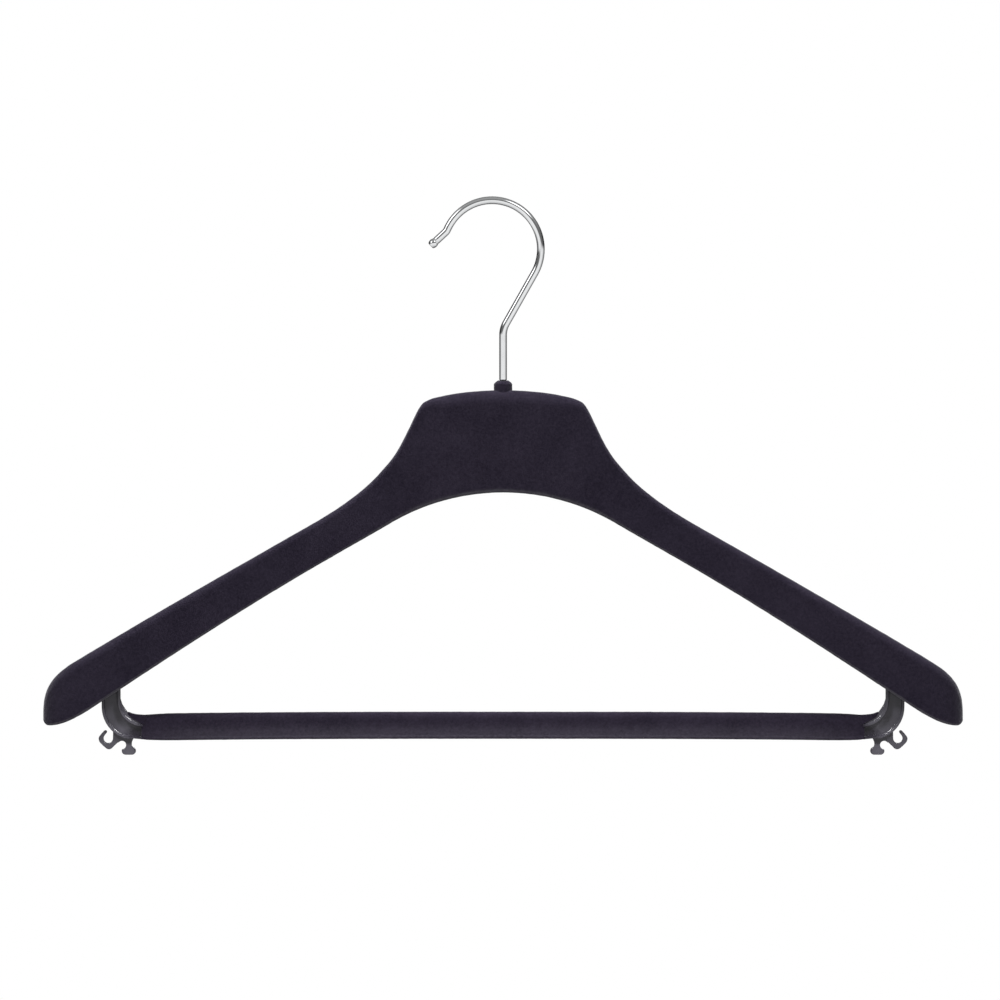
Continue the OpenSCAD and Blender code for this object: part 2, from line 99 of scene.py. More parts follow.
class Nodes:
    """A material's or world's node tree, with short calls for the nodes used here."""

    def __init__(self, tree):
        self.tree = tree
        tree.nodes.clear()

    def add(self, kind, **settings):
        node = self.tree.nodes.new(kind)
        for key, value in settings.items():
            setattr(node, key, value)
        return node

    def link(self, source, target):
        self.tree.links.new(source, target)

    def place(self):
        """Object coordinates, in metres."""
        return self.add("ShaderNodeTexCoord").outputs["Object"]

    def axes(self, vector):
        """X, Y and Z of a vector."""
        node = self.add("ShaderNodeSeparateXYZ")
        self.link(vector, node.inputs[0])
        return [node.outputs[axis] for axis in "XYZ"]

    def noise(self, place, size_mm, detail=2.0, roughness=0.55):
        """Noise whose features are about size_mm across, from 0 to 1."""
        node = self.add("ShaderNodeTexNoise")
        node.inputs["Scale"].default_value = 1000 / size_mm
        node.inputs["Detail"].default_value = detail
        node.inputs["Roughness"].default_value = roughness
        self.link(place, node.inputs["Vector"])
        return node.outputs["Fac"]

    def span(self, value, low, high, to_low, to_high):
        """value mapped from low..high to to_low..to_high, and held inside."""
        node = self.add("ShaderNodeMapRange")
        names = ("From Min", "From Max", "To Min", "To Max")
        for name, number in zip(names, (low, high, to_low, to_high)):
            node.inputs[name].default_value = number
        self.link(value, node.inputs["Value"])
        return node.outputs["Result"]

    def spread(self, value, to_low, to_high):
        """A noise, whose values lie mostly between 0.3 and 0.7, mapped to to_low..to_high."""
        return self.span(value, 0.3, 0.7, to_low, to_high)

    def fade(self, value, ends_mm, from_value=1, to_value=0):
        """from_value before the first end, to_value past the second, for a length in metres."""
        return self.span(value, ends_mm[0] * MM, ends_mm[1] * MM, from_value, to_value)

    def math(self, kind, a, b=0):
        """Result of a Math node. Each input is a number or a socket."""
        node = self.add("ShaderNodeMath", operation=kind)
        for socket, value in zip(node.inputs, (a, b)):
            if isinstance(value, (int, float)):
                socket.default_value = value
            else:
                self.link(value, socket)
        return node.outputs[0]

    def towards(self, direction, aim):
        """Cosine of the angle between a direction and the direction aim."""
        node = self.add("ShaderNodeVectorMath", operation="DOT_PRODUCT")
        self.link(direction, node.inputs[0])
        node.inputs[1].default_value = Vector(aim).normalized()
        return node.outputs["Value"]

    def mix(self, by, a, b):
        """Colour a to colour b by a factor. Colours are tuples or sockets."""
        node = self.add("ShaderNodeMix", data_type="RGBA")
        self.link(by, node.inputs["Factor"])
        for name, value in (("A", a), ("B", b)):
            socket = next(s for s in node.inputs if s.name == name and s.type == "RGBA")
            if isinstance(value, tuple):
                socket.default_value = (*value, 1)
            else:
                self.link(value, socket)
        return next(s for s in node.outputs if s.type == "RGBA")

    def bump(self, height, distance_mm, strength, under=None):
        """Normal shifted by a height, over the normal under it if there is one."""
        node = self.add("ShaderNodeBump")
        node.inputs["Distance"].default_value = distance_mm * MM
        node.inputs["Strength"].default_value = strength
        self.link(height, node.inputs["Height"])
        if under is not None:
            self.link(under, node.inputs["Normal"])
        return node.outputs["Normal"]

    def surface(self, colour, normal, roughness, **sockets):
        """Principled shader to the output. Plain numbers go on the shader's own sockets."""
        shader = self.add("ShaderNodeBsdfPrincipled")
        for name, value in sockets.items():
            shader.inputs[name.replace("_", " ")].default_value = value
        if isinstance(colour, tuple):
            shader.inputs["Base Color"].default_value = (*colour, 1)
        else:
            self.link(colour, shader.inputs["Base Color"])
        if isinstance(roughness, float):
            shader.inputs["Roughness"].default_value = roughness
        else:
            self.link(roughness, shader.inputs["Roughness"])
        self.link(normal, shader.inputs["Normal"])
        out = self.add("ShaderNodeOutputMaterial")
        self.link(shader.outputs[0], out.inputs["Surface"])

    def hide_underside(self):
        """Makes the far side of the faces clear, so that a view from below is open."""
        out = next(node for node in self.tree.nodes if node.type == "OUTPUT_MATERIAL")
        shader = out.inputs["Surface"].links[0].from_socket
        mix = self.add("ShaderNodeMixShader")
        self.link(self.add("ShaderNodeNewGeometry").outputs["Backfacing"], mix.inputs[0])
        self.link(shader, mix.inputs[1])
        self.link(self.add("ShaderNodeBsdfTransparent").outputs[0], mix.inputs[2])
        self.link(mix.outputs[0], out.inputs["Surface"])


def new_material(name):
    material = bpy.data.materials.new(name)
    material.use_nodes = True
    return material, Nodes(material.node_tree)


# ---------------------------------------------------------------- materials


PAINTED_HIGHLIGHT_PILE = (0.046, 0.043, 0.052)  # paler colour painted on faces that catch more light, a painted highlight
PAINTED_HIGHLIGHT_FACE = (-261.2, -254.0)  # heights on the bar between which that painted highlight ends
PAINTED_HIGHLIGHT_ENDS = (0.88, 1.0)  # share of the bar's half length over which it weakens
PAINTED_HIGHLIGHT_EDGE = (-0.36, -0.02)  # the same for the painted highlight on the body's foot, by how far its surface faces down


def bar_painted_highlight(n, place):
    """1 on the bar's lower edge, falling to 0 half-way up its face and less at the bar's ends: the
    mask of a painted highlight on the lower face, which tilts up to the light.
    """
    x, _, z = n.axes(place)
    out = n.math("DIVIDE", n.math("ABSOLUTE", x), BAR_END * MM)
    bow = n.span(n.math("POWER", out, BOW_POWER), 0, 1, BAR_BOW * MM, 0)
    face = n.fade(n.math("SUBTRACT", z, bow), PAINTED_HIGHLIGHT_FACE)
    return n.math("MULTIPLY", face, n.span(out, *PAINTED_HIGHLIGHT_ENDS, 1, 0.25))


def foot_painted_highlight(n, _):
    """Over 1 where the coat rolls under at the body's foot, and 0 on its faces: the mask of a
    painted highlight for light from below.
    """
    _, _, facing_up = n.axes(n.add("ShaderNodeTexCoord").outputs["Normal"])
    return n.span(facing_up, *PAINTED_HIGHLIGHT_EDGE, 2.5, 0)


FIBRE_MM, CLUMP_MM, NAP_MM = 0.35, 1.3, 22


def velvet(name, dark, light, sheen, painted_highlight):
    """Short electrostatic flock: fibres, the clumps they stand in, and slow changes of nap. Where
    the mask that it is given is set, a paler colour is painted on: a painted highlight for faces
    that catch more light."""
    material, n = new_material(name)
    place = n.place()
    fibre = n.noise(place, FIBRE_MM, 3, 0.7)
    clump = n.noise(place, CLUMP_MM, 3, 0.65)
    nap = n.noise(place, NAP_MM, 2)
    tone = n.math("ADD", n.spread(fibre, 0, 0.45), n.spread(clump, 0, 0.4))
    tone = n.math("ADD", tone, n.spread(nap, 0, 0.25))
    fibres = n.bump(fibre, 0.16, 0.7)
    clumps = n.bump(clump, 0.2, 0.5, fibres)
    # painted highlight: the mask for the paler colour, broken up by the clumps
    painted_highlight_mask = n.math("MULTIPLY", painted_highlight(n, place), n.spread(clump, 0.2, 0.45))
    n.surface(
        n.mix(painted_highlight_mask, n.mix(tone, dark, light), PAINTED_HIGHLIGHT_PILE),
        clumps,
        0.95,
        Specular_IOR_Level=0.12,
        Sheen_Weight=sheen,
        Sheen_Roughness=0.42,
        Sheen_Tint=(0.95, 0.94, 1, 1),
    )
    return material


def moulding(n, place, dark, light, gloss_range, grain_mm):
    """Colour, normal and roughness of moulded plastic: slight colour flow, a fine eroded grain and
    uneven gloss."""
    flow = n.noise(place, 9, 3)
    gloss = n.noise(place, 2.5, 3)
    grain = n.noise(place, grain_mm, 2, 0.6)
    colour = n.mix(n.spread(flow, 0, 1), dark, light)
    return colour, n.bump(grain, 0.03, 0.5), n.spread(gloss, *gloss_range)


def moulded(name, dark, light):
    """Dull plastic, as moulded."""
    material, n = new_material(name)
    n.surface(*moulding(n, n.place(), dark, light, (0.45, 0.62), 0.5), Specular_IOR_Level=0.5)
    return material


def metal(name, colour, gloss_range, scratch):
    """Bare or plated metal with uneven polish and faint handling marks."""
    material, n = new_material(name)
    place = n.place()
    polish = n.noise(place, 3, 4)
    marks = n.noise(place, 0.5, 2)
    n.surface(
        colour,
        n.bump(marks, 0.004, scratch),
        n.spread(polish, *gloss_range),
        Metallic=1.0,
    )
    return material


# Stray flock on the moulded ends. Each pair is where it starts and ends to fade, in millimetres.
STRAY_OUT = (180.0, 189.2)  # along X, in the recess
STRAY_SLANT, STRAY_UP = 0.35, (-194.3, -191.1)  # up the recess, on a line that falls outwards
STRAY_FOOT = (-261.8, -260.8)  # above the rim under the recess
STRAY_INNER = (179.5, 181.0)  # along X, on that rim
STRAY_RIM = (176.8, 179.8)  # along X, on the rims' ends


def oversprayed(name, dark, light, pile):
    """Bar plastic, with stray flock that clings in each end's recess beside the sleeve."""
    material, n = new_material(name)
    place = n.place()
    mottle = n.noise(place, 1.1, 3, 0.65)
    x, _, z = n.axes(place)
    x = n.math("ABSOLUTE", x)
    slanted = n.math("ADD", n.math("MULTIPLY", x, STRAY_SLANT), z)
    recess = n.math("MULTIPLY", n.fade(x, STRAY_OUT), n.fade(slanted, STRAY_UP))
    over_rim = n.math("MAXIMUM", n.fade(z, STRAY_FOOT, 0, 1), n.fade(x, STRAY_INNER))
    reach = n.math("MAXIMUM", n.math("MULTIPLY", recess, over_rim), n.fade(x, STRAY_RIM, 0.95))
    stray = n.span(n.math("ADD", reach, n.spread(mottle, -0.22, 0.22)), 0.15, 0.95, 0, 0.95)
    clean, normal, gloss = moulding(n, place, dark, light, (0.16, 0.22), 0.4)
    n.surface(
        n.mix(stray, clean, pile),
        normal,
        n.math("ADD", gloss, n.math("MULTIPLY", stray, 0.1)),
        Specular_IOR_Level=0.36,
    )
    return material


BODY_VELVET = velvet(
    "body_velvet",
    dark=(0.003, 0.002, 0.006),
    light=(0.0195, 0.0158, 0.0262),
    sheen=0.15,
    # painted highlight where the coat rolls under at the foot
    painted_highlight=foot_painted_highlight,
)
BAR_VELVET = velvet(
    "bar_velvet",
    dark=(0.0045, 0.0034, 0.0075),
    light=(0.026, 0.0205, 0.0345),
    sheen=0.16,
    # painted highlight on the bar's lower face
    painted_highlight=bar_painted_highlight,
)
BODY_PLASTIC = moulded("body_plastic", dark=(0.018, 0.018, 0.02), light=(0.026, 0.026, 0.029))
BAR_PLASTIC = oversprayed(
    "bar_plastic",
    dark=(0.021, 0.02, 0.0245),
    light=(0.034, 0.032, 0.0395),
    pile=(0.003, 0.002, 0.005),
)
PLATED = metal("plated_wire", (0.86, 0.87, 0.88), (0.05, 0.1), 0.06)
ZINC = metal("zinc_plate", (0.62, 0.63, 0.66), (0.28, 0.42), 0.6)
SPRING = metal("spring_steel", (0.3, 0.3, 0.32), (0.3, 0.45), 0.6)


# ---------------------------------------------------------------- mesh helpers


def make_object(name, points_mm, faces, material):
    """Object from points in millimetres, with merged doubles and outward normals."""
    mesh = bpy.data.meshes.new(name)
    mesh.from_pydata((np.asarray(points_mm) * MM).tolist(), [], faces)
    piece = bpy.data.objects.new(name, mesh)
    bpy.context.scene.collection.objects.link(piece)
    tidy_mesh(mesh)
    mesh.materials.append(material)
    return piece


MERGE_MM = 0.002


def tidy_mesh(mesh):
    """Merges points that coincide, turns the faces outwards and shades them smooth."""
    work = bmesh.new()
    work.from_mesh(mesh)
    bmesh.ops.remove_doubles(work, verts=work.verts, dist=MERGE_MM * MM)
    bmesh.ops.dissolve_degenerate(work, edges=work.edges, dist=MERGE_MM * MM / 2)
    bmesh.ops.recalc_face_normals(work, faces=work.faces)
    work.to_mesh(mesh)
    work.free()
    for polygon in mesh.polygons:
        polygon.use_smooth = True


def grid_faces(rows, columns, wrap_rows=False):
    """Quads between closed rings of points stored ring by ring."""
    faces = []
    for i in range(rows if wrap_rows else rows - 1):
        for j in range(columns):
            this, other = i * columns, (i + 1) % rows * columns
            k = (j + 1) % columns
            faces.append((this + j, this + k, other + k, other + j))
    return faces


def turned(outline, turns):
    """Points and faces of a closed outline of (radius, height) turned about the swivel axis."""
    angles = np.arange(turns) * 2 * math.pi / turns
    points = [(r * math.cos(a), r * math.sin(a), z) for a in angles for r, z in outline]
    return points, grid_faces(turns, len(outline), wrap_rows=True)


def roughen(piece, depth_mm, sizes_mm, seed):
    """Moves each point in or out by a soft noise, as the tips of a pile do."""
    mesh = piece.data
    shift = Vector((seed * 13.7, seed * 5.1, seed * 9.3))
    moved = []
    for vertex in mesh.vertices:
        at = vertex.co / MM
        wave = sum(noise.noise(at / size + shift) for size in sizes_mm) / len(sizes_mm)
        moved.append(vertex.co - vertex.normal * (depth_mm * MM * wave))
    for vertex, co in zip(mesh.vertices, moved):
        vertex.co = co
    mesh.update()


# ---------------------------------------------------------------- body outline, as in the CAD

HALF_W = FLOCK_HIGH[0]
NECK_TOP = -91.3
PILE_RISE = 0.15  # of the velvet's top over the CAD's
ARCH_TOP, ARCH_R, ARCH_X = -141, 108.5, 55
TIP_X = HALF_W - 19
TIP_DROP, TIP_POWER = 18.3, 3.3
LOW_CORNER = 3
NECK_DEPTH, SHOULDER_DEPTH = 14.5, FLOCK_HIGH[1] - FLOCK_LOW[1]
# Knots of both edges: (x, height, slope)
TOP_KNOTS = [(0, NECK_TOP, 0), (33, -94.9, -0.25), (38.5, -97.1, -0.6), (43, -103.7, -2.15),
             (50, -118, -1.9), (60, -131.5, -1.14), (75, -144.9, -0.74), (104, -162.8, -0.57),
             (TIP_X, -222, -0.6)]
BOTTOM_KNOTS = [(ARCH_X, -156, -0.588), (100, -182, -0.59), (HALF_W - 25, -245.6, -0.66),
                (HALF_W - LOW_CORNER, -254.9, 0)]
PLAN_ROUND = 2.4  # power of the shoulder end's curve in plan, where 2 would be an ellipse
# Where each of these starts, out from the middle, and over what run it grows: the deepening
# towards the shoulders, the end of the neck, and the swelling of the upper rounding
DEEPEN_FROM, DEEPEN_RUN = 36, 150
CORNER_FROM, CORNER_RUN = 24, 16
SWELL_FROM, SWELL_RUN = 60, 140
# Depth and height of the upper rounding, as edge() reads them
EDGE_DEPTH, EDGE_HEIGHT = (2.6, 1.8, 1), (3.2, 3, 1.6)
EDGE_POWER = 2 / 1.8  # 1.8 lies between a chamfer, 1, and a quarter of an ellipse, 2


def along(knots, x):
    """Smooth curve through knots of (x, height, slope)."""
    z = np.full_like(x, knots[0][1])
    for (x0, z0, m0), (x1, z1, m1) in zip(knots, knots[1:]):
        inside = (x >= x0) & (x <= x1)
        t, h = (x[inside] - x0) / (x1 - x0), x1 - x0
        z[inside] = ((1 + 2 * t) * (1 - t) ** 2 * z0 + t * (1 - t) ** 2 * h * m0
                     + t * t * (3 - 2 * t) * z1 + t * t * (t - 1) * h * m1)
    return z


def smooth(t):
    """Soft step from 0 at t = 0 to 1 at t = 1."""
    t = np.clip(t, 0, 1)
    return t * t * (3 - 2 * t)


def top_z(x):
    """Height of the upper edge."""
    a = np.minimum(np.abs(x), HALF_W)
    u = np.clip((a - TIP_X) / (HALF_W - TIP_X), 0, 1)
    last = TOP_KNOTS[-1]
    tip = last[1] + last[2] * (a - TIP_X) - TIP_DROP * (1 - (1 - u**TIP_POWER) ** (1 / TIP_POWER))
    return np.where(a <= TIP_X, along(TOP_KNOTS, np.minimum(a, TIP_X)), tip)


def bottom_z(x):
    """Height of the lower edge."""
    a = np.minimum(np.abs(x), HALF_W)
    corner, low = HALF_W - LOW_CORNER, BOTTOM_KNOTS[-1][1]
    arch = ARCH_TOP - ARCH_R + np.sqrt(ARCH_R**2 - np.minimum(a, ARCH_X) ** 2)
    arm = along(BOTTOM_KNOTS, np.clip(a, ARCH_X, corner))
    tip = low + LOW_CORNER - np.sqrt(np.maximum(0, LOW_CORNER**2 - np.maximum(0, a - corner) ** 2))
    return np.where(a <= ARCH_X, arch, np.where(a <= corner, arm, tip))


def half_depth_at(x):
    """Half of the depth, before the shoulder end closes."""
    deepened = smooth((np.abs(x) - DEEPEN_FROM) / DEEPEN_RUN)
    return (NECK_DEPTH + (SHOULDER_DEPTH - NECK_DEPTH) * deepened) / 2


def closing(x):
    """How far the round shoulder end is open in plan, from 1 to 0 at the tip."""
    u = np.clip((np.abs(x) - TIP_X) / (HALF_W - TIP_X), 0, 1)
    return (1 - u**PLAN_ROUND) ** (1 / PLAN_ROUND)


def neck(x):
    """1 on the neck, and 0 past its corners."""
    return 1 - smooth((np.abs(x) - CORNER_FROM) / CORNER_RUN)


def edge(size, x):
    """Size of the rounding along the upper edge, from its size on an arm and how much more it is on
    the neck and at the shoulder."""
    arm, on_neck, at_shoulder = size
    swell = smooth((np.abs(x) - SWELL_FROM) / SWELL_RUN)
    return arm + on_neck * neck(x) + at_shoulder * swell


def even_stations(count):
    """Places along X that are evenly spaced along the body's upper edge."""
    arms = np.linspace(0, TIP_X, 4000)
    tip = TIP_X + (HALF_W - TIP_X) * np.sin(np.linspace(0, math.pi / 2, 1500))[1:]
    x = np.concatenate([arms, tip])
    run = np.concatenate([[0], np.cumsum(np.hypot(np.diff(x), np.diff(top_z(x))))])
    half = np.interp(np.linspace(0, run[-1], count), run, x)
    half[-1] = HALF_W
    return np.concatenate([-half[:0:-1], half])


class Shell:
    """The body's surface w millimetres inside its outer face, at every station x. Each point that
    it gives is X, half of the depth, and Z."""

    def __init__(self, x, w):
        step = 0.05  # for the slope of the upper edge
        a = np.minimum(np.abs(x), HALF_W - step)
        side = np.sign(x)
        slope = (top_z(a + step) - top_z(a - step)) / (2 * step)
        n = np.hypot(slope, 1)
        # the limits keep the section sound where the shoulder end makes it small
        self.x_top = side * (np.abs(x) + w * slope / n)
        self.x_low = x * (HALF_W - w) / HALF_W
        self.z_low = bottom_z(self.x_low)
        self.z_top = np.maximum(self.z_low + 0.3 * closing(x), top_z(x) + PILE_RISE - w / n)
        self.y_low = (half_depth_at(x) - w) * closing(x)
        self.corner_z = np.minimum(0.8 * (self.z_top - self.z_low), edge(EDGE_HEIGHT, x))
        self.corner_y = np.minimum(0.6 * self.y_low, edge(EDGE_DEPTH, x))
        self.y_top = self.y_low - np.minimum(0.5, 0.2 * self.y_low)
        self.ease = np.clip((self.z_top - self.corner_z - self.z_low) / 30, 0, 1)

    def wall(self, f):
        """Point of the wall at height f, from 0 at its lower edge to 1 under its rounding."""
        return (self.x_low + (self.x_top - self.x_low) * f,
                self.y_low + (self.y_top - self.y_low) * f,
                self.z_low + (self.z_top - self.corner_z - self.z_low) * f)

    def rounding(self, t):
        """Point of the upper rounding, from t = 0 on the wall to t = 90 on top."""
        c, s = math.cos(math.radians(t)), math.sin(math.radians(t))
        return (self.x_top,
                self.y_top - self.corner_y * (1 - max(c, 0) ** EDGE_POWER),
                self.z_top - self.corner_z * (1 - s**EDGE_POWER))

    def top(self, f):
        """Point of the top, from its front edge at f = 1 to the middle at f = 0."""
        return self.x_top, (self.y_top - self.corner_y) * f, self.z_top

    def low(self, rise):
        """Point on the wall, rise millimetres above the lower edge."""
        return self.x_low, self.y_low, self.z_low + rise * self.ease


# ---------------------------------------------------------------- velvet coat of the body

STATIONS = 330
WALL_ROWS, CORNER_ROWS, TOP_ROWS = 34, 10, 3
FLOCK_T = 0.6
FOOT_T = FLOCK_T + 2.0  # coat and wall together
INNER_FACE = FLOCK_T + 0.15  # how far in the coat's hidden face lies
HEM_START = 0.065  # where the wall turns into the hem, as a share of its height
# The coat's foot, from its face round the wall's edge and back: (how far in, height above the edge)
HEM = [(0.02, 1.7), (0.12, 1.15), (0.32, 0.62), (0.6, 0.2), (0.95, -0.08), (1.4, -0.15),
       (FOOT_T - 0.4, -0.15), (FOOT_T + 0.05, -0.05), (FOOT_T + 0.28, 0.6), (FOOT_T + 0.3, 2.0),
       (FOOT_T + 0.18, 3.4), (FOOT_T - 0.15, 3.7), (FOOT_T - 0.4, 0.5), (FLOCK_T + 0.25, 0.5)]


def half_ring(x):
    """Points of the coat's closed section on one side: outside from the middle of the top down,
    round the lower edge, a short way up the inside, and back up behind the coat's face."""
    outer = Shell(x, 0)
    rows = [outer.top(f) for f in np.linspace(0, 1, TOP_ROWS + 1)[:-1]]
    rows += [outer.rounding(t) for t in np.linspace(90, 0, CORNER_ROWS)]
    rows += [outer.wall(f) for f in np.linspace(1, HEM_START, WALL_ROWS)[1:]]
    rows += [Shell(x, w).low(rise) for w, rise in HEM]
    inner = Shell(x, INNER_FACE)
    rows += [inner.wall(f) for f in (0.3, 0.6, 1)]
    rows += [inner.rounding(t) for t in (30, 60, 90)]
    return rows


def body_coat():
    """Velvet over the whole body. The middle of the top belongs to both sides."""
    ring = [np.stack(p, axis=1) for p in half_ring(even_stations(STATIONS))]
    back = [p * np.array([1, -1, 1]) for p in ring[:0:-1]]
    points = np.stack([*ring, *back], axis=1)
    count, columns = points.shape[:2]
    faces = grid_faces(count, columns)
    piece = make_object("body_velvet_coat", points.reshape(-1, 3), faces, BODY_VELVET)
    roughen(piece, depth_mm=0.12, sizes_mm=(2.2, 5.5), seed=1)
    return piece


COLLAR_R, COLLAR_HOLE = 4.5, 2.15
COLLAR_TURNS = 72
RIM_DIP = 0.45
# Velvet at the collar's foot and top: (radius past the collar's, height above that foot or top)
COLLAR_FOOT = [(0.5, -0.6), (0.3, 0.3), (0.08, 1.0)]
COLLAR_BEVEL = [(0, -2.05), (-0.1, -1.7), (-0.5, -1.2), (-1, -0.75), (-1.5, -0.38), (-1.95, -0.1),
                (-2.15, 0)]


def collar_coat():
    """Velvet over the collar, with a soft foot where it meets the neck."""
    top, foot = FLOCK_HIGH[2], NECK_TOP - 2.6
    r, hole, inner = COLLAR_R, COLLAR_HOLE, COLLAR_R - INNER_FACE
    outline = [(r + more, foot + z) for more, z in COLLAR_FOOT]
    outline += [(r, z) for z in np.linspace(foot + 1.8, top - 2.6, 7)]
    outline += [(r + more, top + z) for more, z in COLLAR_BEVEL]
    outline += [(hole + 0.08, top - 0.04), (hole, top - 0.15), (hole, top - 0.55),
                (r - 1.6, top - 1.3), (inner, top - 2.2), (inner, foot - 0.6)]
    points, faces = turned(outline, COLLAR_TURNS)
    # the rim of the hole dips at the front and back
    points = np.array(points)
    across = np.hypot(points[:, 0], points[:, 1])
    rim = smooth((r - 1.3 - across) / 1.1) * smooth((points[:, 2] - top + 1) / 0.5)
    points[:, 2] -= RIM_DIP * rim * (points[:, 1] / across) ** 2
    piece = make_object("collar_velvet", points, faces, BODY_VELVET)
    roughen(piece, depth_mm=0.08, sizes_mm=(1.5, 4), seed=2)
    return piece


# ---------------------------------------------------------------- velvet on the bar

BAR_H = 12.5
SLEEVE_END = BAR_END + 0.95
SLEEVE_TAPER = 0.8  # how far from its end the sleeve has its full thickness
SLEEVE_STATIONS = 300
PILE, INNER_PILE = SLEEVE_HIGH[1] - BAR_HIGH[1], 0.12  # outer and hidden face, off the plastic
# Right half of the bar's section under its pile: (depth, height, direction that the surface faces)
BELL = [(3.9, 0, 0), (4, 0.5, 0), (3.95, 0.95, 30), (3.55, 1.5, 30), (2.95, 3.5, 18),
        (2.45, 5.4, 12), (2.3, 7.8, 0), (2.3, BAR_H - 2.5, 0), (2.05, BAR_H - 1.4, 25),
        (1.45, BAR_H - 0.5, 50), (0.6, BAR_H, 80), (0, BAR_H, 90)]
BAR_HEM = [(4.42, 0.16), (4.2, 0.04), (3.95, 0.06)]  # under each lower lip: (depth, height)
# The pile is thinner over the last stretch at each end:
# (distance from the end, rise of the lower edge, drop of the upper)
END_THINNING = [(0, 0.7, 0.55), (2, 0.4, 0.45), (6, 0.22, 0.25), (11, 0.05, 0.05), (16, 0, 0)]


def rounded(points, per_span=4):
    """Catmull-Rom curve through the points."""
    p = np.array(points, float)
    p = np.vstack([2 * p[0] - p[1], p, 2 * p[-1] - p[-2]])
    out = []
    for a, b, c, d in zip(p, p[1:], p[2:], p[3:]):
        for t in np.arange(per_span) / per_span:
            out.append(0.5 * (2 * b + (c - a) * t + (2 * a - 5 * b + 4 * c - d) * t * t
                              + (3 * b - a - 3 * c + d) * t**3))
    return np.array([*out, p[-2]])


def thinning(x):
    """Rise of the lower edge and drop of the upper edge at x."""
    away, rise, drop = np.array(END_THINNING).T
    d = np.maximum(BAR_END - np.abs(x), 0)
    return np.interp(d, away, rise), np.interp(d, away, drop)


def bell_path(t):
    """Half of the section, t outside the plastic, from the lower edge to the middle of the top."""
    path = []
    for y, h, facing in BELL:
        a = math.radians(facing)
        path.append((y + t * math.cos(a), h + t * math.sin(a)))
    return path


def bar_lift(x):
    """How far the bow raises the bar at x."""
    return BAR_BOW * (1 - (abs(x) / BAR_END) ** BOW_POWER)


def bar_sleeve():
    """Velvet over the straight bar: its face, a hem under each lower lip, and a hidden face."""
    outer = rounded(bell_path(PILE))[::-1]
    inner = rounded(bell_path(INNER_PILE))
    start = inner[0][0]
    ends = np.array([0, 0.15, 0.4, 0.8])
    run = SLEEVE_END - 1.4
    x = np.concatenate([ends - SLEEVE_END, np.linspace(-run, run, SLEEVE_STATIONS),
                        (SLEEVE_END - ends)[::-1]])
    fullness = np.clip((SLEEVE_END - np.abs(x)) / SLEEVE_TAPER, 0, 1) ** 0.5
    rows = []
    for at, full in zip(x, fullness):
        bottom = SLEEVE_LOW[2] + bar_lift(at)
        rise, drop = thinning(at)
        face = inner[::-1] + (outer - inner[::-1]) * full
        hem = [(start + (y - start) * full, z * full) for y, z in BAR_HEM]
        side = []
        for y, h in [*face, *hem, *inner]:
            f = min(max(h / BAR_H, 0), 1)
            side.append((at, y, bottom + h + rise * (1 - f) - drop * f))
        rows.append(side + [(px, -y, z) for px, y, z in side[-2:0:-1]])
    points = np.array(rows)
    faces = grid_faces(*points.shape[:2])
    piece = make_object("bar_velvet_sleeve", points.reshape(-1, 3), faces, BAR_VELVET)
    roughen(piece, depth_mm=0.1, sizes_mm=(1.6, 4.2), seed=3)
    return piece


# Outline of the velvet that runs on over each gusset and tapers out in the inner bend: (x, z)
WEDGE = [(174.2, -250.0), (176, -249.92), (178, -249.8), (180, -249.55), (181.4, -249.25),
         (182.6, -248.85), (183.7, -248.4), (183.5, -249.4), (182.7, -250.6), (181.5, -251.6),
         (180.2, -252.4), (178.8, -253.1), (177.4, -253.7), (176, -254.4), (174.2, -254.9)]
WEDGE_DEPTH = 3.72
WEDGE_START, WEDGE_RUN = 0.76, 1.8  # share of that depth at its inner end, and where it is full


def prism(outline, half_depth):
    """Closed mesh of an XZ outline with a depth along Y."""
    n = len(outline)
    points = [(x * MM, y * MM, z * MM) for y in (-half_depth, half_depth) for x, z in outline]
    faces = [tuple(range(n)), tuple(range(2 * n - 1, n - 1, -1))]
    faces += [(k, (k + 1) % n, n + (k + 1) % n, n + k) for k in range(n)]
    mesh = bpy.data.meshes.new("prism")
    mesh.from_pydata(points, [], faces)
    work = bmesh.new()
    work.from_mesh(mesh)
    bmesh.ops.recalc_face_normals(work, faces=work.faces)
    work.to_mesh(mesh)
    work.free()
    return mesh


def bar_wedges():
    """Velvet in the inner bend above each end of the sleeve."""
    mesh = soften(prism(WEDGE, WEDGE_DEPTH), passes=6, keep=0.6)
    for vertex in mesh.vertices:
        opened = float(smooth((vertex.co.x / MM - WEDGE[0][0]) / WEDGE_RUN))
        vertex.co.y *= WEDGE_START + (1 - WEDGE_START) * opened
    piece = joined("bar_velvet_wedges", [mesh, mirrored(mesh)], BAR_VELVET)
    roughen(piece, depth_mm=0.1, sizes_mm=(1.2, 3.5), seed=4)
    return piece


# ---------------------------------------------------------------- moulded trouser bar

END_CUT, END_LAP = 170.0, 0.5  # where the fine ends start, and how far the middle runs into them
WELD_MM = 0.001
VOXEL = 0.2
COVERED = BAR_END + 1.6  # how far out the bar's velvet covers it


def cut_copy(node, low_x, high_x):
    """Closed copy of a CAD node's mesh between two places along X, in millimetres."""
    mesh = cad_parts[node].data.copy()
    work = bmesh.new()
    work.from_mesh(mesh)
    bmesh.ops.remove_doubles(work, verts=work.verts, dist=WELD_MM * MM)
    for x, side in ((low_x, -1), (high_x, 1)):
        geometry = [*work.verts, *work.edges, *work.faces]
        made = bmesh.ops.bisect_plane(work, geom=geometry, plane_co=(x * MM, 0, 0),
                                      plane_no=(side, 0, 0), clear_outer=True)
        edges = [e for e in made["geom_cut"] if isinstance(e, bmesh.types.BMEdge)]
        if edges:
            bmesh.ops.holes_fill(work, edges=edges)
    bmesh.ops.recalc_face_normals(work, faces=work.faces)
    work.to_mesh(mesh)
    work.free()
    mesh.materials.clear()
    return mesh


